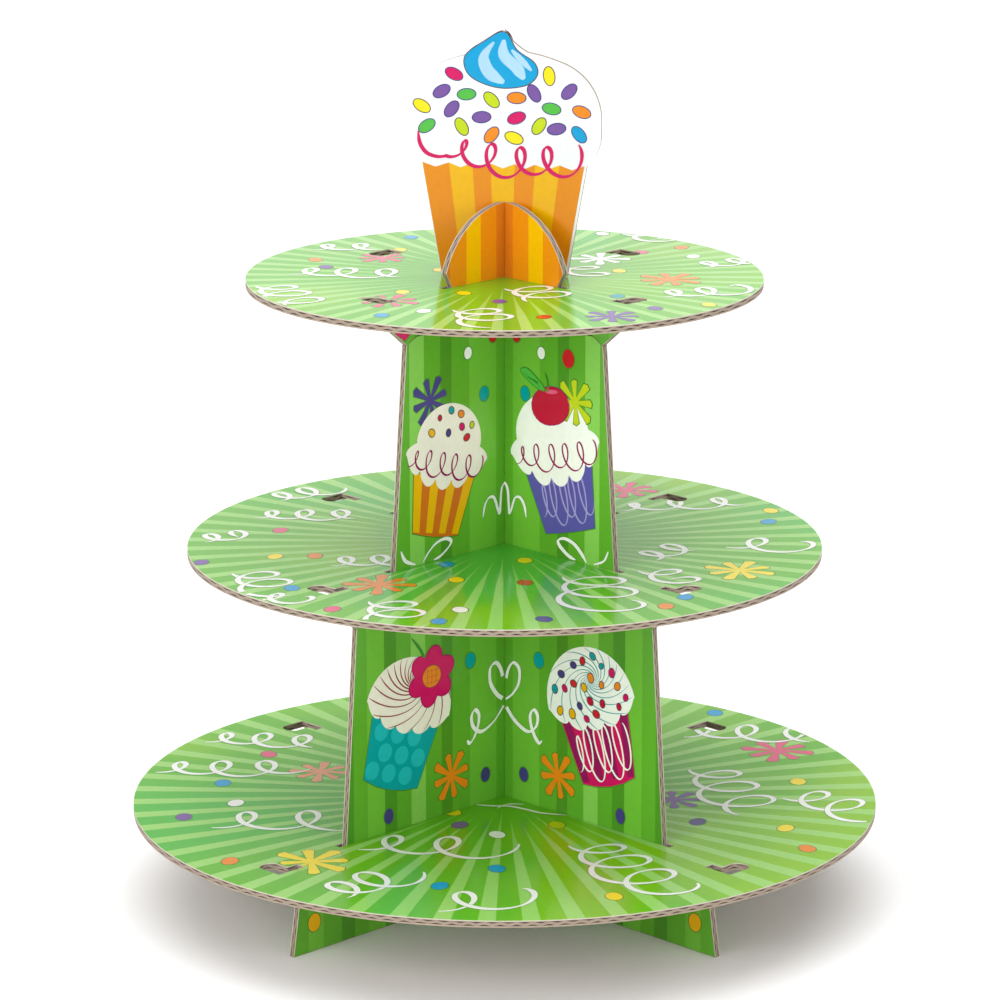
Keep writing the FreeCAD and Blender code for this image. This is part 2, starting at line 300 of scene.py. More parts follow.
def striped_wall(name, direction, widths, low_widths=None, change=0.0):
    """Upright stripes that mirror at the corner; below the height change, low_widths are used."""
    made = Recipe(name)
    reach = made.maths("ABSOLUTE", made.dot(made.place(), direction))
    colour = stripes(made, reach, widths)
    if low_widths:
        height = made.node("ShaderNodeSeparateXYZ", {0: made.place()}).outputs["Z"]
        above = made.maths("GREATER_THAN", height, change)
        colour = made.blend(above, stripes(made, reach, low_widths), colour)
    uneven = made.grey(made.noise(13, 1), 0.35, 0.9, 0.7, 1.0)
    colour = made.blend(1.0, colour, uneven, "MULTIPLY")
    return made.varnished(made.face_or_edge(direction.cross(UP), colour), "Z")


def white_wall(name, facing):
    made = Recipe(name)
    colour = made.blend(made.noise(24, 1), SHEET_SHADE, SHEET_WHITE)
    return made.varnished(made.face_or_edge(facing, colour), "Z")


_inks = {}


def ink(colour, flutes, strength=1.0):
    """The material of one ink, on boards whose flutes repeat along this axis."""
    # A strength below 1 makes a darker copy of the ink as painted shade; it is used on the topper
    name = f"{colour}_ink_{flutes.lower()}" + ("_painted_shade" if strength < 1 else "")
    if name not in _inks:
        made = Recipe(name)
        shade = darker(INKS[colour], strength)
        _inks[name] = made.varnished(made.blend(made.noise(70), darker(shade, 0.9), shade), flutes)
    return _inks[name]


# --- Plies ---

class Ply:
    """A flat CAD node: the directions it lies in, its depth and its outline.

    Its flutes would run along, and repeat across.
    """

    def __init__(self, node, along, across):
        self.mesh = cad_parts[node].data
        self.along = along
        self.across = across
        self.normal = along.cross(across)
        depths = [vertex.co.dot(self.normal) for vertex in self.mesh.vertices]
        self.low, self.high = min(depths), max(depths)
        self.outline = self.find_outline()

    def find_outline(self):
        """The edges round one face of the ply, as pairs of (across, along) points."""
        uses = {}
        for polygon in self.mesh.polygons:
            if polygon.normal.dot(self.normal) > 0.9:
                corners = [self.flat(self.mesh.vertices[index].co) for index in polygon.vertices]
                for start, end in zip(corners, corners[1:] + corners[:1]):
                    key = frozenset((round(s / MM, 3), round(a / MM, 3)) for s, a in (start, end))
                    uses.setdefault(key, []).append((start, end))
        return [sides[0] for sides in uses.values() if len(sides) == 1]

    def flat(self, point):
        return point.dot(self.across), point.dot(self.along)

    def spans(self, level):
        """Where the ply has material along one line: (start, end) pairs."""
        crossings = sorted(a0 + (a1 - a0) * (level - s0) / (s1 - s0)
                           for (s0, a0), (s1, a1) in self.outline if (s0 <= level) != (s1 <= level))
        return list(zip(crossings[::2], crossings[1::2]))

    def covers(self, point):
        level, along = self.flat(point)
        return any(start < along < end for start, end in self.spans(level))

    def point(self, level, along, depth):
        return self.across * level + self.along * along + self.normal * depth


def make_object(name, parts, materials):
    """One mesh object from parts, each (vertices, faces, index of its material)."""
    vertices, faces, indexes = [], [], []
    for part_vertices, part_faces, index in parts:
        base = len(vertices)
        vertices += part_vertices
        faces += [tuple(base + corner for corner in face) for face in part_faces]
        indexes += [index] * len(part_faces)
    mesh = bpy.data.meshes.new(name)
    mesh.from_pydata(vertices, [], faces)
    mesh.polygons.foreach_set("material_index", indexes)
    for material in materials:
        mesh.materials.append(material)
    mesh.update()
    made = bpy.data.objects.new(name, mesh)
    bpy.context.scene.collection.objects.link(made)
    return made


# --- Corrugated cores ---

def slab(ply, low, high):
    """The ply's own shape between two depths: a flat liner."""
    vertices = []
    for vertex in ply.mesh.vertices:
        depth = vertex.co.dot(ply.normal)
        wanted = low if depth - ply.low < ply.high - depth else high
        vertices.append(vertex.co + ply.normal * (wanted - depth))
    return vertices, [tuple(polygon.vertices) for polygon in ply.mesh.polygons]


def flute_strips(ply):
    """The outline cut into strips across the flutes: lists of (level, (start, end))."""
    corners = [level for side in ply.outline for level, along in side]
    step = FLUTE_PITCH / FLUTE_STEPS
    regular = [min(corners) + index * step for index in range(int((max(corners) - min(corners)) / step) + 1)]
    levels = sorted({round(level / MM, 3) for level in corners + regular})
    levels = [level * MM for level in levels]
    strips, growing = [], []
    for here, after in zip(levels, levels[1:]):
        if after - here < 4 * HAIR:
            continue
        starts, ends = ply.spans(here + HAIR), ply.spans(after - HAIR)
        still_growing = []
        if len(starts) == len(ends):
            for start, end in zip(starts, ends):
                strip = next((s for s in growing if math.dist(s[-1][1], start) < SAME_STRIP), None)
                if strip is None:
                    strip = [(here, start)]
                    strips.append(strip)
                strip.append((after, end))
                still_growing.append(strip)
        growing = still_growing
    return strips


def wavy_sheet(ply, low, high):
    """The fluted paper between two depths, cut to the outline, as closed strips."""
    middle = (low + high) / 2
    swing = (high - low - MEDIUM) / 2
    vertices, faces = [], []
    for strip in flute_strips(ply):
        first = len(vertices)
        for level, (start, end) in strip:
            phase = level * TURN / FLUTE_PITCH
            slope = swing * TURN / FLUTE_PITCH * math.cos(phase)
            half = MEDIUM / 2 * math.sqrt(1 + slope ** 2)
            for depth in (middle + swing * math.sin(phase) + half, middle + swing * math.sin(phase) - half):
                vertices += [ply.point(level, start, depth), ply.point(level, end, depth)]
        last = len(vertices) - 4
        for a in range(first, last, 4):
            b = a + 4
            faces += [(a, b, b + 1, a + 1), (a + 2, a + 3, b + 3, b + 2), (a, a + 2, b + 2, b),
                      (a + 1, b + 1, b + 3, a + 3)]
        faces += [(first, first + 1, first + 3, first + 2), (last, last + 2, last + 3, last + 1)]
    return vertices, faces


def corrugate(board, body, along, across, papers):
    """Real corrugated board in the place of a board's plain core."""
    ply = Ply(f"{board}_core", along, across)
    parts = [(*slab(ply, ply.low, ply.low + LINER), 0), (*slab(ply, ply.high - LINER, ply.high), 0),
             (*wavy_sheet(ply, ply.low + LINER, ply.high - LINER), 1)]
    made = make_object(f"{board}_corrugated", parts, papers)
    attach(made, body)
    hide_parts(f"{board}_core")


# --- Outlines, in millimetres ---

def moved(points, x, y, tilt):
    """Points turned by tilt degrees and moved to x, y."""
    cos, sin = math.cos(math.radians(tilt)), math.sin(math.radians(tilt))
    return [(x + px * cos - py * sin, y + px * sin + py * cos) for px, py in points]


def mover(x, y, tilt):
    return lambda points: moved(points, x, y, tilt)


def ellipse(x, y, width, height, tilt=0.0):
    angles = [TURN * i / OVAL_POINTS for i in range(OVAL_POINTS)]
    return moved([(width / 2 * math.cos(a), height / 2 * math.sin(a)) for a in angles], x, y, tilt)


def starburst(x, y, radius, turn):
    """Wedge-shaped petals round a point, blunt at their ends."""
    points = []
    for petal in range(STAR_PETALS):
        middle = TURN * petal / STAR_PETALS
        length = radius * (1.0 if petal % 2 else 0.88)
        half = 0.46 * math.pi / STAR_PETALS
        for angle, reach in ((middle - math.pi / STAR_PETALS, 0.2 * radius), (middle - half, length),
                             (middle, length * 1.05), (middle + half, length * 0.95)):
            points.append((reach * math.cos(angle), reach * math.sin(angle)))
    return moved(points, x, y, turn)


def scalloped(x, y, width, height, lobes, depth, tilt=0.0):
    """A round shape with a wavy edge: a flower or a cherry."""
    points = []
    for index in range(lobes * 12):
        angle = TURN * index / (lobes * 12)
        reach = 1 - depth + depth * abs(math.cos(lobes * angle / 2))
        points.append((width / 2 * reach * math.cos(angle), height / 2 * reach * math.sin(angle)))
    return moved(points, x, y, tilt)


def between(a, b, c, d, t):
    """How far a smooth curve through four numbers has come, at the share t from b to c."""
    return 0.5 * (2 * b + (c - a) * t + (2 * a - 5 * b + 4 * c - d) * t * t
                  + (3 * b - a - 3 * c + d) * t ** 3)


def smooth(points, closed=True):
    """A smooth curve through a few points."""
    count = len(points)
    curve = []
    for index in range(count if closed else count - 1):
        if closed:
            a, b, c, d = (points[(index + k) % count] for k in (-1, 0, 1, 2))
        else:
            a, b, c, d = (points[min(max(index + k, 0), count - 1)] for k in (-1, 0, 1, 2))
        for step in range(CURVE_STEPS):
            curve.append(tuple(between(*numbers, step / CURVE_STEPS) for numbers in zip(a, b, c, d)))
    return curve if closed else curve + [points[-1]]


def loops(x, y, heading, count, pitch, height, bend=0.0, roundness=0.8):
    """A looping line like handwriting; its base line turns by bend degrees from end to end."""
    path = []
    base_x, base_y = 0.0, 0.0
    steps = int(count * LOOP_POINTS)
    for index in range(steps + 1):
        share = index / steps
        phase = TURN * count * share
        size = height / 2 * min(1.0, 0.6 + 1.4 * share) * (0.86 + 0.14 * math.cos(phase / 2))
        along, rise = roundness * size * math.sin(phase), -size * math.cos(phase)
        turn = math.radians(bend) * (share - 0.5)
        base_x += pitch * count / steps * math.cos(turn)
        base_y += pitch * count / steps * math.sin(turn)
        path.append((base_x + along * math.cos(turn) - rise * math.sin(turn),
                     base_y + along * math.sin(turn) + rise * math.cos(turn)))
    return moved(path, x, y, heading)


def within(outline, x, y):
    """Whether a point is inside an outline."""
    sides = zip(outline, outline[1:] + outline[:1])
    return sum((y0 <= y) != (y1 <= y) and x < x0 + (x1 - x0) * (y - y0) / (y1 - y0)
               for (x0, y0), (x1, y1) in sides) % 2 == 1


def swirl_lines(x, y, arms, reach, twist, outline):
    """Curved lines that wind out from a point, cut where they leave the outline."""
    lines = []
    for arm in range(arms):
        line = []
        for step in range(SWIRL_POINTS):
            radius = SWIRL_EYE + (reach - SWIRL_EYE + 5 * (arm % 3)) * step / (SWIRL_POINTS - 1)
            angle = TURN * arm / arms + twist * math.log(radius)
            point = (x + radius * math.cos(angle), y + SWIRL_FLATNESS * radius * math.sin(angle))
            if not within(outline, *point):
                break
            line.append(point)
        lines.append(line)
    return lines


def grown(outline, width):
    """The outline moved outwards by width."""
    area = sum(a[0] * b[1] - b[0] * a[1] for a, b in zip(outline, outline[1:] + outline[:1]))
    sign = 1 if area > 0 else -1
    points = []
    for before, here, after in zip(outline[-1:] + outline[:-1], outline, outline[1:] + outline[:1]):
        normals = []
        for start, end in ((before, here), (here, after)):
            length = math.dist(start, end) or 1.0
            normals.append((sign * (end[1] - start[1]) / length, -sign * (end[0] - start[0]) / length))
        mean = ((normals[0][0] + normals[1][0]) / 2, (normals[0][1] + normals[1][1]) / 2)
        square = max(mean[0] ** 2 + mean[1] ** 2, SHARPEST)
        points.append((here[0] + width * mean[0] / square, here[1] + width * mean[1] / square))
    return points


# --- Artwork ---

class Artwork:
    """The shapes printed on one face. place turns x, y and height in mm into a point in metres."""

    def __init__(self, ply, place, rim=None):
        self.ply = ply
        self.place = place
        self.rim = rim
        self.shapes = []

    def covers(self, x, y):
        return self.ply.covers(self.place(x, y, 0))

    def fill(self, outline, colour, layer, centre=None):
        """A flat shape. One that meets a hole is made of small cells, without those over the hole."""
        if self.rim:
            outline = [self.within_rim(x, y) for x, y in outline]
        height = layer * LIFT
        if centre is None or all(self.covers(x, y) for x, y in outline):
            self.shapes.append(([(x, y, height) for x, y in outline], [tuple(range(len(outline)))], colour))
            return
        rings, count = CELL_RINGS, len(outline)
        points = [(centre[0] + (x - centre[0]) * k / rings, centre[1] + (y - centre[1]) * k / rings, height)
                  for k in range(rings + 1) for x, y in outline]
        faces = []
        for ring in range(rings):
            for index in range(count):
                cell = (ring * count + index, ring * count + (index + 1) % count,
                        (ring + 1) * count + (index + 1) % count, (ring + 1) * count + index)
                if all(self.covers(*points[corner][:2]) for corner in cell):
                    faces.append(cell)
        self.shapes.append((points, faces, colour))

    def within_rim(self, x, y):
        share = min(1.0, self.rim / max(math.hypot(x, y), 1e-6))
        return x * share, y * share

    def outlined(self, outline, colour, layer, line="leaf_line", centre=None):
        self.fill(grown(outline, LINE), line, layer, centre)
        self.fill(outline, colour, layer + 1, centre)

    def ribbon(self, path, colour, layer, width, line="leaf_line"):
        """A pen stroke along a path, with a darker line along both its sides."""
        if line:
            self.stroke(path, line, layer, width + LINE)
        self.stroke(path, colour, layer + 0.6, width)

    def stroke(self, path, colour, layer, width):
        """A stroke of a broad nib, tapered at its ends.  It rises as it goes."""
        count = len(path)
        run = []
        for index, (x, y) in enumerate(path):
            before, after = path[max(index - 1, 0)], path[min(index + 1, count - 1)]
            heading = math.atan2(after[1] - before[1], after[0] - before[0])
            taper = min(1.0, TIP + min(index, count - 1 - index) / TIP_POINTS)
            across_nib = abs(math.sin(heading - NIB_ANGLE))
            half = width / 2 * taper * (NIB_THINNEST + (1 - NIB_THINNEST) * across_nib)
            dx, dy = -math.sin(heading) * half, math.cos(heading) * half
            if self.covers(x + dx, y + dy) and self.covers(x - dx, y - dy):
                height = (layer + CLIMB * index / count) * LIFT
                run += [(x + dx, y + dy, height), (x - dx, y - dy, height)]
            else:
                self.finish_run(run, colour)
                run = []
        self.finish_run(run, colour)

    def finish_run(self, run, colour):
        faces = [(i, i + 1, i + 3, i + 2) for i in range(0, len(run) - 2, 2)]
        if faces:
            self.shapes.append((run, faces, colour))

    def dot(self, x, y, colour, width, height, tilt=0.0):
        self.outlined(ellipse(x, y, width, height, tilt), colour, 1, centre=(x, y))

    def star(self, x, y, colour, radius, turn):
        self.outlined(starburst(x, y, radius, turn), colour, 1, centre=(x, y))

    def lay(self, name, body, slot, flutes, place=None, strength=1.0):
        """Makes the print as one thin object, here or in another place."""
        place = place or self.place
        colours = sorted({colour for points, faces, colour in self.shapes})
        parts = [([place(*point) for point in points], faces, colours.index(colour))
                 for points, faces, colour in self.shapes]
        # A strength below 1 lays darker copies of the inks as painted shade
        made = make_object(name, parts, [ink(colour, flutes, strength) for colour in colours])
        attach(made, body)


# --- Tiers ---
# Dots are (x, y, colour); stars (x, y, colour, radius); loops (x, y, heading, count, pitch, height, bend);
# lines are points that a smooth stroke goes through.

BOTTOM_DOTS = [
    (-108, -84, "orange"), (-130, -30, "purple"), (-110, -12, "white"), (-117, 14, "blue"),
    (-100, 53, "pink"), (-25, -113, "blue"), (-21, -24, "yellow"), (-18, -40, "purple"), (-3, -52, "white"),
    (21, -40, "lime"), (42, -125, "yellow"), (120, -69, "orange"), (113, -44, "yellow"),
    (78, -36, "indigo"), (122, 16, "yellow"), (-3, -93, "blue"), (62, 61, "blue"), (92, 112, "blue"),
    (60, 130, "yellow"), (25, 113, "blue"), (21, 34, "yellow"), (-4, 56, "white"), (-42, 135, "yellow"),
    (-60, 104, "orange")]
BOTTOM_STARS = [
    (-76, -85, "yellow", 16), (116, 58, "pink", 15), (69, -8, "purple", 12), (-77, 29, "salmon", 13),
    (14, 88, "yellow", 15), (-22, 126, "pink", 13)]
BOTTOM_LOOPS = [
    (-128, 76, -8, 3, 16, 20, -10), (-146, 35, 0, 3.2, 18, 22, 10), (-118, -35, 2, 2, 26, 28, 10),
    (-57, -62, -6, 2.3, 23, 27, 10), (-66, -122, 42, 2.2, 15, 25, -10), (-27, -134, 10, 1.5, 24, 27),
    (34, -62, -62, 3.5, 18, 31, 15), (86, 34, -74, 3.1, 18, 30, 10), (119, 0, -42, 2.2, 17, 26),
    (76, 84, -6, 3, 19, 24, -20), (4, 122, -5, 2.6, 17, 22, -25), (-54, 72, 22, 2.4, 18, 24, 10)]
BOTTOM_LINES = [
    [(-13, -14), (-5, -16), (2, -16.5), (8, -20), (15, -25), (25, -28)], [(-3, -19), (1, -14), (8, -14)]]
MIDDLE_DOTS = [
    (8, -29, "yellow"), (-66, -100, "pink"), (70, -83, "blue"), (-19, -58, "yellow"), (8, -62, "red"),
    (-23, -35, "blue"), (-17, -101, "white"), (-92, -23, "yellow"), (-76, -22, "orange"),
    (-121, -32, "purple"), (-83, -70, "blue"), (-25, -117, "blue"), (15, -114, "indigo"),
    (62, -96, "orange"), (111, 50, "yellow"), (109, 32, "blue"), (-92, 18, "pink"), (19, 58, "yellow"),
    (-8, 63, "red"), (23, 40, "blue"), (14, 101, "white"), (-30, 104, "orange")]
MIDDLE_STARS = [
    (-49, -65, "orange", 14), (93, -44, "yellow", 14), (52, 85, "pink", 13), (-34, 80, "yellow", 12)]
MIDDLE_LOOPS = [
    (-124, 3, 25, 1.8, 12, 16), (-104, 43, 0, 3, 14, 18), (-98, 70, 36, 2.2, 13, 18),
    (-70, -32, 8, 2, 14, 18), (-101, -46, -68, 2.3, 13, 24), (-96, -82, -20, 1.6, 13, 15),
    (-45, -88, -80, 2.4, 13, 25), (33, -52, -82, 2.6, 17, 34), (58, -42, -60, 1.8, 14, 20),
    (56, -26, 48, 1.9, 14, 18), (91, -2, -16, 1.6, 20, 24), (46, 54, 12, 3, 18, 18),
    (-16, 116, 0, 2, 15, 16)]
TOP_DOTS = [
    (-2, -50, "purple"), (-47, -76, "blue"), (44, -40, "teal"), (-72, 18, "purple"), (-26, 12, "yellow"),
    (15, -79, "red"), (79, -56, "yellow"), (58, -63, "purple"), (-31, -68, "white"), (-40, -32, "yellow"),
    (-16, -34, "yellow"), (-77, 33, "orange"), (-43, 54, "yellow"), (-39, 81, "blue"), (46, 10, "yellow"),
    (56, 49, "pink"), (73, 59, "orange"), (77, 40, "white"), (41, 89, "white"), (2, 52, "purple")]
TOP_STARS = [
    (-45, -49, "pink", 12), (66, -7, "orange", 13), (41, -78, "purple", 11), (39, 35, "white", 12),
    (-50, 37, "pink", 10), (-12, 84, "orange", 11)]
TOP_LOOPS = [
    (-86, 9, -6, 3, 15, 20), (-92, -18, -68, 3, 13, 22, 10), (-80, 58, 6, 2, 14, 16),
    (6, -22, -60, 2, 13, 24), (-13, -64, -72, 2.2, 12, 24), (60, -37, 18, 2.6, 14, 18, 10),
    (78, 20, 28, 2, 13, 16), (54, 92, -60, 1.8, 14, 18), (28, 22, -74, 1.8, 14, 18),
    (-26, 66, 10, 2.2, 13, 16)]


def print_tier(name, body, dots, stars, looping, dot_size, lines=()):
    """The print of one tier.  The turn of a star or dot comes from its place."""
    sheet = f"{name}_printed_sheet"
    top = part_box(sheet)[1].z
    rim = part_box(sheet)[1].x / MM - RIM_MARGIN
    ply = Ply(sheet, Vector((0, 1, 0)), Vector((1, 0, 0)))
    art = Artwork(ply, lambda x, y, height: Vector((x * MM, y * MM, top + height * MM)), rim)
    for line in looping:
        art.ribbon(loops(*line), "white", 3, 2.8)
    for points in lines:
        art.ribbon(smooth(points, closed=False), "white", 3, 1.8)
    for x, y, colour, radius in stars:
        art.star(x, y, colour, radius, 17 * (x + y) % 45)
    for x, y, colour in dots:
        art.dot(x, y, colour, dot_size, dot_size * 1.35, tilt=(13 * x + 7 * y) % 40 - 20)
    art.lay(f"{name}_artwork", body, "tier_print", "X")


# --- Columns ---
# On a wall, x is to the viewer's right from the corner and y is the height over the tier below.

def wrapper(base, mouth, tall, sag=1.0):
    """The paper cup of a printed cupcake, standing on the origin."""
    return [(-base / 2, 0), (-base / 4, -0.75 * sag), (0, -sag), (base / 4, -0.75 * sag), (base / 2, 0),
            (mouth / 2, tall), (-mouth / 2, tall)]


def wrapper_stripes(base, mouth, tall, count, inset=0.0):
    """Every other stripe of a wrapper."""
    found = []
    for index in range(0, count, 2):
        low, high = index / count - 0.5 + inset, (index + 1) / count - 0.5 - inset
        found.append([(low * base, 0.4), (high * base, 0.4), (high * mouth, tall), (low * mouth, tall)])
    return found


def dome(width, low, high, lobes=5, waist=0.3, frill=1.3):
    """Frosting from low to high: a round top and a lower edge of lobes, frill deep."""
    half, rise = width / 2, high - low
    middle = low + waist * rise
    top = [(half * math.cos(math.pi * i / 24), middle + (high - middle) * math.sin(math.pi * i / 24))
           for i in range(25)]
    edge = []
    for index in range(1, lobes * 10):
        share = index / (lobes * 10)
        x = half * (2 * share - 1)
        curve = waist * rise * abs(x / half) ** 2.5
        edge.append((x, low + curve + frill * (1 - 2 * abs(math.sin(math.pi * lobes * share)) ** 0.6)))
    return top + edge


def sprinkle(art, spot, colours, count, outline, size, layer, seed):
    """Small ovals scattered inside an outline, none touching another."""
    chance = random.Random(seed)
    xs, ys = [x for x, y in outline], [y for x, y in outline]
    placed = []
    for attempt in range(count * 60):
        x, y = chance.uniform(min(xs), max(xs)), chance.uniform(min(ys), max(ys))
        inside = all(within(outline, x + dx, y + dy) for dx in (-size, size) for dy in (-size, size))
        if inside and len(placed) < count and all(math.dist((x, y), other) > size * 2.1 for other in placed):
            placed.append((x, y))
            across = size * chance.uniform(0.7, 1.15)
            oval = ellipse(x, y, across, across * 1.25, chance.uniform(-80, 80))
            art.outlined(spot(oval), colours[len(placed) % len(colours)], layer, "dark_line")


def teal_cupcake(art, x, y, tilt):
    """Polka-dot wrapper and cream frosting in thin swirls."""
    spot = mover(x, y, tilt)
    art.outlined(spot(wrapper(31, 38, 27, 2.5)), "teal", 2)
    for row, height in enumerate((4, 12, 20)):
        for column in range(-2, 3):
            dot_x = column * 9.6 + (row % 2) * 4.8 - 2.4
            if abs(dot_x) < 12.5 + height * 0.1:
                art.fill(spot(ellipse(dot_x, height, 7.6, 7.6)), "pale_teal", 4)
    frosting = dome(48, 22, 52)
    art.fill(spot(frosting), "cream", 5)
    for line in swirl_lines(1, 42, 17, 30, -1.15, frosting):
        art.stroke(spot(line), "brown_red", 7, 0.6)


def magenta_cupcake(art, x, y, tilt):
    """Striped wrapper with white scribble, round frosting with a spiral and coloured dots."""
    spot = mover(x, y, tilt)
    art.outlined(spot(wrapper(30, 39, 28, 2.5)), "magenta", 2)
    for stripe in wrapper_stripes(30, 39, 28, 7, 0.01):
        art.fill(spot(stripe), "deep_magenta", 4)
    art.stroke(spot(loops(-15, 12, 0, 5.5, 5.4, 24, 0, 0.3)), "white", 5, 0.9)
    frosting = dome(50, 22, 55)
    art.fill(spot(frosting), "white", 8)
    for line in swirl_lines(3, 41, 15, 30, 1.3, frosting):
        art.stroke(spot(line), "teal", 9, 0.5)
    colours = ["red", "magenta", "gold", "orange", "teal", "indigo", "cherry"]
    sprinkle(art, spot, colours, 22, frosting, 2.7, 12, seed=3)


def orange_cupcake(art, x, y, tilt):
    """Orange and yellow striped wrapper, cream dome with coloured dots over a frilled rim."""
    spot = mover(x, y, tilt)
    art.outlined(spot(wrapper(25.5, 34, 24)), "burnt_orange", 2)
    for stripe in wrapper_stripes(25.5, 34, 24, 7):
        art.fill(spot(stripe), "wrapper_yellow", 4)
    top = dome(36, 24, 53, 4, 0.45)
    art.fill(spot(top), "cream", 5)
    art.fill(spot(dome(46, 20, 39, 5, 0.6, 2)), "cream", 6)
    art.stroke(spot(loops(-21, 30, -3, 5.5, 7.4, 11, 10, 0.62)), "deep_magenta", 8, 0.9)
    dotted = [point for point in top if point[1] > 36]
    colours = ["magenta", "orange", "indigo", "red", "gold", "cherry", "lime", "teal"]
    sprinkle(art, spot, colours, 15, dotted, 2.4, 9, seed=5)


def violet_cupcake(art, x, y, tilt):
    """Violet wrapper with lilac loops, white dome over a frilled rim, and a cherry."""
    spot = mover(x, y, tilt)
    art.outlined(spot(wrapper(28, 38, 26, 0.5)), "violet_blue", 2)
    art.stroke(spot(loops(-13.5, 13, 0, 5.2, 5.3, 21, 0, 0.3)), "lilac", 4, 0.8)
    art.fill(spot(dome(41, 26, 56, 4, 0.45)), "white", 5)
    art.fill(spot(dome(51, 20, 43, 5, 0.6, 2)), "white", 6)
    art.stroke(spot(loops(-23, 33, -4, 5.5, 8.2, 12, 14, 0.62)), "deep_magenta", 8, 0.9)
    art.outlined(spot(scalloped(2, 50.5, 21, 16, 2, 0.06)), "cherry", 8, "deep_magenta")
    art.fill(spot(ellipse(4, 56, 7, 1.8, -8)), "pink", 10)
    for points in ([(2, 56), (3, 60), (2.5, 64)], [(2, 56), (-2, 60), (-8, 63.5)]):
        art.stroke(spot(smooth(points, closed=False)), "leaf", 11, 1.1)
    leaf = smooth([(-11, 66), (-7, 66.5), (-1, 60), (0, 57), (-5, 59.5)])
    art.outlined(spot(leaf), "green", 11, "leaf")
    art.stroke(spot([(-10, 65.5), (-6, 62.5), (-1, 58)]), "leaf", 13, 0.6)


# White lines beside the corner of a column: points of the right-hand one of each pair
FLOURISH = [
    (1.6, 42), (2, 48), (3.6, 54.5), (6.6, 58), (9.8, 56), (9.6, 50), (6, 44.5), (1.6, 40.5), (4.6, 36),
    (9, 32.5), (15, 30.5), (19.5, 33.5), (20.5, 38), (18.5, 40.5), (16.3, 38), (16.8, 33.5), (19, 29),
    (21.5, 27), (23, 28.5)]
SMALL_FLOURISH = [
    (0, 26), (3, 23.5), (3.8, 17), (4.2, 13), (5.4, 15), (7.5, 20), (10.5, 20.5), (12.8, 17.5), (13.8, 13)]
FLOOR_LOOP = [
    (47.5, 0.6), (44.5, 4), (40.5, 7), (35.5, 8.2), (32, 7), (32.6, 4.8), (37.5, 1.6), (41.5, 0.6)]
FLOOR_CURL = [(59.5, 7.5), (57, 3), (51.5, 0.6)]


def beside_corner(points, side):
    """A smooth line through points, to the right of the corner (1) or mirrored to its left (-1)."""
    return [(side * x, y) for x, y in smooth(points, closed=False)]


def lower_wall(art):
    """Both walls at one corner of the lower column, and the feet under its tier."""
    for side in (-1, 1):
        art.ribbon(beside_corner(FLOURISH, side), "white", 3, 1.9)
        art.dot(side * 21, 62, "teal", 5.5, 6.5)
        art.dot(side * 12.5, 11.5, "indigo", 5, 6)
        art.dot(side * 67, 6.5, "indigo", 5, 6.5)
        art.star(side * 32, 15.5, "orange", 10.5, 12)
        art.dot(side * 108, -28, "gold", 6.5, 7.5)
    teal_cupcake(art, -66, 20, -19)
    art.stroke(smooth([(-54, 78), (-49, 72), (-43, 61)], closed=False), "leaf", 8, 1.4)
    art.outlined(scalloped(-43, 60, 26, 25, 6, 0.3, 20), "magenta", 9, "deep_magenta")
    art.outlined(ellipse(-43, 60, 10, 9), "orange", 11, "brown_red")
    for offset in (-2.4, 0, 2.4):
        art.stroke([(-43 + offset, 56.5), (-43 + offset, 60), (-43 + offset, 63.5)], "brown_red", 13, 0.5)
        art.stroke([(-47, 60 + offset), (-43, 60 + offset), (-39, 60 + offset)], "brown_red", 13, 0.5)
    magenta_cupcake(art, 60.5, 20, 18)


def upper_wall(art):
    """Both walls at one corner of the upper column, and the feet under its tier."""
    for side in (-1, 1):
        art.ribbon(beside_corner(SMALL_FLOURISH, side), "white", 3, 1.5)
        for points in (FLOOR_LOOP, FLOOR_CURL):
            art.ribbon(beside_corner(points, side), "white", 3, 1.7)
        art.dot(side * 13, 64, "teal", 5, 6)
        art.dot(side * 22, 82, "white", 4.2, 5)
        art.dot(side * 8, 87, "red", 4.5, 5.5)
        art.dot(side * 83, -26, "gold", 6, 6)
    orange_cupcake(art, -40.5, 11, -12)
    art.star(-43, 66, "indigo", 10, 15)
    art.dot(37, 82, "red", 6.5, 7.5)
    violet_cupcake(art, 38.5, 12, 15)
    art.outlined(starburst(41, 65, 10, 5), "lime", 7, "leaf_line")


def support_wall(art):
    """The ears of the topper's supports, under the top tier."""
    art.dot(-60, -14, "magenta", 13, 8)
    art.dot(52, -8, "gold", 5.5, 6)


def level_direction(turn):
    """The way a board runs when it is turned by turn degrees from +X."""
    return Vector((math.cos(math.radians(turn)), math.sin(math.radians(turn)), 0))


def face_place(along, out, face, floor, side=1):
    """Turns x, y and height on an upright face, in mm, into a point in metres."""
    return lambda x, y, height: (along * x * MM + out * (face + side * height * MM)
                                 + UP * (floor + y * MM))


def print_walls(name, body, tier_sheet, slot, draw):
    """Draws the print of a crossed pair of panels once, and lays it on their four sides."""
    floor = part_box(tier_sheet)[1].z
    first = None
    for turn in WALL_TURNS:
        along = level_direction(turn)
        out = along.cross(UP)
        panel = "right" if turn in (-45, 135) else "left"
        side = "front" if turn in WALL_TURNS[:2] else "back"
        ply = Ply(f"{name}_{panel}_{side}_sheet", along, UP)
        place = face_place(along, out, ply.high, floor)
        if first is None:
            first = Artwork(ply, place)
            draw(first)
        first.lay(f"{name}_artwork_{side}_{panel}", body, slot, "Z", place)


# --- Topper ---

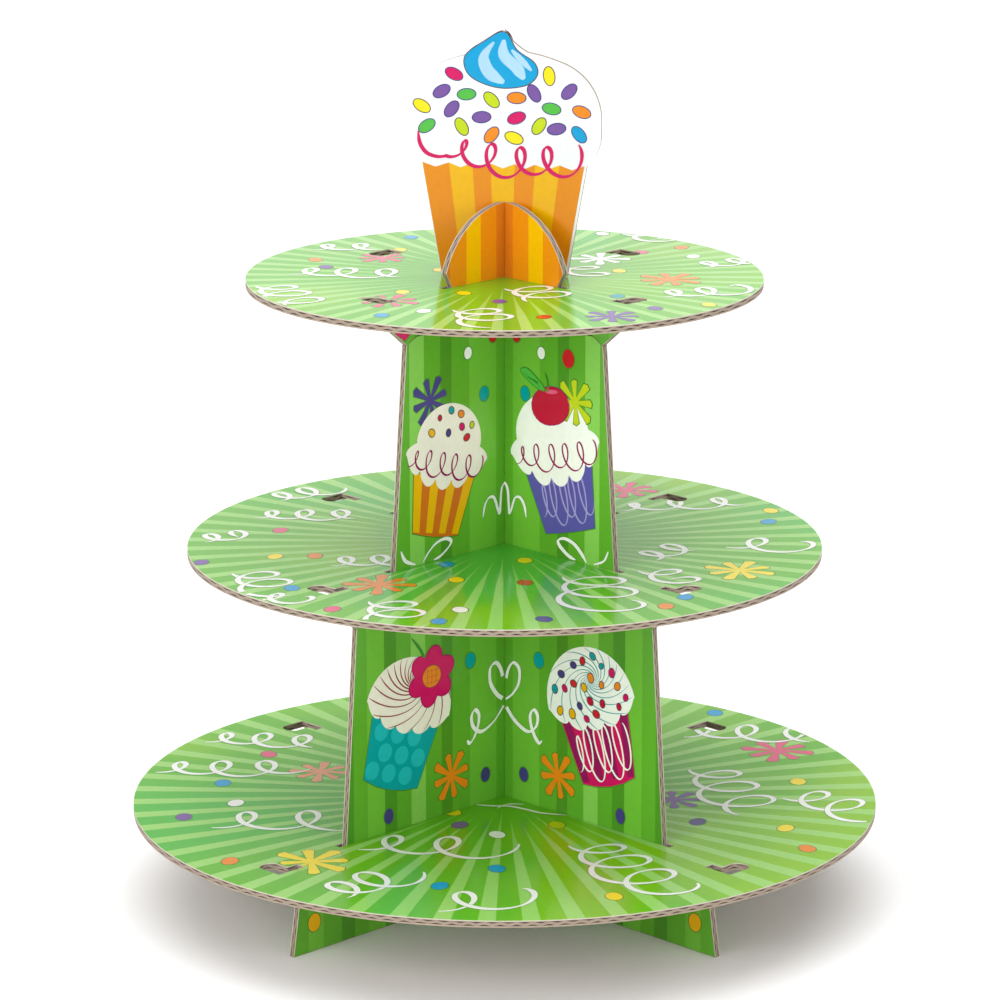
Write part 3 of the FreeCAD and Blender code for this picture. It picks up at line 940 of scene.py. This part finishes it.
# Each sprinkle is (x, y, colour, tilt in degrees)
TOPPER_SPRINKLES = [
    (-20, 81, "magenta", -25), (-25, 74, "purple", 30), (-33, 68, "yellow", -30), (-21, 67, "purple", 50),
    (-15, 73, "green", 5), (-5, 71, "lime", -45), (5, 72, "orange", 0), (12, 74, "purple", -60),
    (18, 81, "yellow", -82), (26, 75, "purple", 45), (19, 68, "green", -10), (31, 67, "orange", -20),
    (5, 64, "magenta", 20), (-9, 64, "purple", 5), (14, 61, "lime", 55), (21, 60, "purple", 10),
    (30, 58, "blue", -50), (-17, 60, "lime", -60), (-31, 60, "green", 35), (-5, 57, "orange", 50),
    (4, 56, "yellow", -20)]
SPRINKLE_SIZE = (7.2, 4.2)
TOPPER_PAINTED_SHADE = 0.86  # painted shade: the topper's inks are darkened to this share of the same inks elsewhere, because more light falls on the topper than on the walls
WRAPPER_FOOT, WRAPPER_TOP, NOTCH = 1.0, 45.5, 1.8  # heights, and how deep the notches of its top are
WRAPPER_MARGINS = (0.3, 1.0)  # from the board's left and right edges
WRAPPER_EDGES = [0, 0.164, 0.309, 0.424, 0.570, 0.697, 0.848, 1]  # of its stripes, in shares


def draw_topper(art):
    """The large cupcake of the topper: striped wrapper, sprinkles, a looping line and a swirl."""
    heights = [WRAPPER_FOOT + (WRAPPER_TOP - WRAPPER_FOOT) * step / 6 for step in range(7)]

    def across(y, share):
        spans = art.ply.spans(art.place(0, y, 0).z)
        left, right = spans[0][0] / MM + WRAPPER_MARGINS[0], spans[-1][1] / MM - WRAPPER_MARGINS[1]
        return left + share * (right - left)

    for index, (low, high) in enumerate(zip(WRAPPER_EDGES, WRAPPER_EDGES[1:])):
        outline = [(across(y, low), y) for y in heights]
        outline += [(across(WRAPPER_TOP, (low + high) / 2), WRAPPER_TOP - NOTCH)]
        outline += [(across(y, high), y) for y in reversed(heights)]
        art.fill(outline, "wrapper_yellow" if index % 2 else "wrapper_orange", 2)
    sweep = smooth([(-34.5, 58), (-33.8, 53), (-31.2, 49.3), (-27, 47.8), (-23, 48.1)], closed=False)
    art.ribbon(sweep + loops(-22.5, 52.2, -4, 4.4, 11.7, 13.5, 34, 0.72), "magenta", 4, 1.7, None)
    for x, y, colour, tilt in TOPPER_SPRINKLES:
        line = "dark_line" if colour in ("yellow", "lime") else "indigo"
        art.outlined(ellipse(x, y, *SPRINKLE_SIZE, tilt), colour, 2, line)
    swirl = smooth([(-15.5, 88), (-13.5, 80.5), (-3, 76.2), (8, 77), (13, 81), (12, 86), (5, 91), (0.2, 98),
                    (-8, 94)])
    art.outlined(swirl, "blue", 4, "dark_line")
    for points, width in (([(-4, 94), (-8, 88), (-6, 82), (0, 78)], 5),
                          ([(0, 95), (0, 89), (5, 84), (8, 79.5)], 4.6),
                          ([(3, 91), (7, 87), (11, 83)], 2.4)):
        art.stroke(smooth(points, closed=False), "pale_blue", 6, width)


# --- Scene ---

def build_boards(papers):
    """Corrugates the tiers and upright boards, and gives their sheets their materials."""
    x, y = Vector((1, 0, 0)), Vector((0, 1, 0))
    levels = (("bottom_tier", "base", -92.55), ("middle_tier", "middle_level", -91.65),
              ("top_tier", "top_level", -91.65))  # with where one of its rays points, in degrees
    for tier, body, ray_at in levels:
        corrugate(tier, body, y, x, papers)
        give(f"{tier}_printed_sheet", sunburst(f"{tier}_sunburst", ray_at))
        give(f"{tier}_underside_liner", papers[0])
    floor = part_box("top_tier_printed_sheet")[1].z
    for side, turn in (("right", -45), ("left", 45)):
        along = level_direction(turn)
        lower = striped_wall(f"lower_stripes_{side}", along, COLUMN_STRIPES)
        upper = striped_wall(f"upper_stripes_{side}", along, COLUMN_STRIPES)
        support = striped_wall(f"support_stripes_{side}", along, SUPPORT_STRIPES, EAR_STRIPES, floor)
        for piece, body, material in (("lower_panel", "base", lower), ("upper_panel", "middle_level", upper),
                                      ("topper_support", "top_level", support)):
            board = f"{piece}_{side}"
            corrugate(board, body, along, UP, papers)
            give(f"{board}_front_sheet", material)
            give(f"{board}_back_sheet", material)


def give(node, material):
    """Puts one material on a CAD node."""
    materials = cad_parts[node].data.materials
    materials.clear()
    materials.append(material)


def topper_direction():
    """The way the topper's flat front runs, from its own faces."""
    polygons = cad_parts["cupcake_topper_front_sheet"].data.polygons
    largest = max(polygons, key=lambda polygon: polygon.area)
    facing = largest.normal if largest.normal.y < 0 else -largest.normal
    return UP.cross(facing)


def build_topper(papers):
    """Corrugates the topper and prints its picture on both faces."""
    along = topper_direction()
    out = along.cross(UP)
    corrugate("cupcake_topper", "topper", along, UP, papers)
    white = white_wall("frosting_white", out)
    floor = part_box("top_tier_printed_sheet")[1].z
    front = Ply("cupcake_topper_front_sheet", along, UP)
    back = Ply("cupcake_topper_back_sheet", along, UP)
    art = Artwork(front, face_place(along, out, front.high, floor))
    draw_topper(art)
    # The topper's print uses darker copies of the inks as painted shade, because more light falls on the
    # topper than on the walls
    art.lay("cupcake_topper_artwork_front", "topper", "cupcake_print", "Z", strength=TOPPER_PAINTED_SHADE)
    on_back = face_place(along, out, back.low, floor, -1)
    art.lay("cupcake_topper_artwork_back", "topper", "cupcake_print", "Z", on_back, TOPPER_PAINTED_SHADE)
    for side in ("front", "back"):
        give(f"cupcake_topper_{side}_sheet", white)


# Name, place in metres, width in metres and power in watts
SOFTBOXES = [("key_softbox", Vector((-1.5, -1.8, 1.0)), 1.4, 29),
             ("fill_softbox", Vector((1.6, -1.7, 0.8)), 1.4, 13),
             ("overhead_softbox", Vector((0, 0.6, 3.5)), 5.0, 95)]
LAMP_TARGET = Vector((0, 0, 0.18))

# The room's light by elevation: (degrees over the horizon, share of the full light)
ROOM_LIGHT = [(12.5, 0.95), (19.5, 0.38), (38, 0.38), (55, 1.0)]
ROOM_STRENGTH = 1.1
FLOOR_REACH = 12  # metres from the middle of the floor to its sides
FLOOR_SHADES = (0.95, 0.97)

# The camera, in metres and degrees; the lens and its sensor in millimetres
CAMERA_PLACE = (0, -1.683, 0.5977)
CAMERA_TILT = 75.58
LENS_LENGTH = 154.53
SENSOR_WIDTH = 36
LENS_SHIFT = -0.0046
CLIP_END = 100


def soft_room():
    """A white room: bright low down, dimmer where the tiers mirror it, bright again overhead."""
    world = bpy.data.worlds.new("soft_white_room")
    world.use_nodes = True
    tree = world.node_tree
    place = tree.nodes.new("ShaderNodeTexCoord")
    parts = tree.nodes.new("ShaderNodeSeparateXYZ")
    ramp = tree.nodes.new("ShaderNodeValToRGB")
    elements = ramp.color_ramp.elements
    while len(elements) < len(ROOM_LIGHT):
        elements.new(1.0)
    for element, (elevation, light) in zip(elements, ROOM_LIGHT):
        element.position = math.sin(math.radians(elevation))
        element.color = (light, light, light, 1)
    background = tree.nodes["Background"]
    background.inputs["Strength"].default_value = ROOM_STRENGTH
    tree.links.new(place.outputs["Generated"], parts.inputs[0])
    tree.links.new(parts.outputs["Z"], ramp.inputs["Fac"])
    tree.links.new(ramp.outputs["Color"], background.inputs["Color"])
    return world


def light_and_view():
    scene = bpy.context.scene
    scene.view_settings.view_transform = "Standard"
    scene.world = soft_room()
    for name, place, size, power in SOFTBOXES:
        lamp = bpy.data.lights.new(name, "AREA")
        lamp.size = size
        lamp.energy = power
        made = bpy.data.objects.new(name, lamp)
        made.location = place
        made.visible_glossy = False
        made.rotation_euler = (LAMP_TARGET - made.location).to_track_quat("-Z", "Y").to_euler()
        scene.collection.objects.link(made)

    corners = [Vector((x * FLOOR_REACH, y * FLOOR_REACH, 0)) for x, y in ((-1, -1), (1, -1), (1, 1), (-1, 1))]
    make_object("floor", [(corners, [(0, 1, 2, 3)], 0)], [floor_paper()])

    lens = bpy.data.cameras.new("camera")
    lens.lens = LENS_LENGTH
    lens.sensor_width = SENSOR_WIDTH
    lens.shift_x = LENS_SHIFT
    lens.clip_end = CLIP_END
    camera = bpy.data.objects.new("camera", lens)
    camera.location = CAMERA_PLACE
    camera.rotation_euler = (math.radians(CAMERA_TILT), 0, 0)
    scene.collection.objects.link(camera)
    scene.camera = camera


def floor_paper():
    made = Recipe("floor_paper")
    dark, light = ((shade, shade, shade, 1) for shade in FLOOR_SHADES)
    return made.finish({"Base Color": made.blend(made.noise(4), dark, light),
                        "Roughness": 0.9, "Specular IOR Level": 0.0})


papers = [raw_card("kraft_liner", KRAFT, KRAFT_SHADOW, LINER_FIBRES),
          raw_card("kraft_medium", FLUTE_BROWN, FLUTE_SHADOW, MEDIUM_FIBRES)]
build_boards(papers)
build_topper(papers)
print_tier("bottom_tier", "base", BOTTOM_DOTS, BOTTOM_STARS, BOTTOM_LOOPS, 6.5, BOTTOM_LINES)
print_tier("middle_tier", "middle_level", MIDDLE_DOTS, MIDDLE_STARS, MIDDLE_LOOPS, 6)
print_tier("top_tier", "top_level", TOP_DOTS, TOP_STARS, TOP_LOOPS, 5.5)
print_walls("lower_panel", "base", "bottom_tier_printed_sheet", "panel_print", lower_wall)
print_walls("upper_panel", "middle_level", "middle_tier_printed_sheet", "panel_print", upper_wall)
print_walls("topper_support", "top_level", "top_tier_printed_sheet", "support_print", support_wall)
light_and_view()
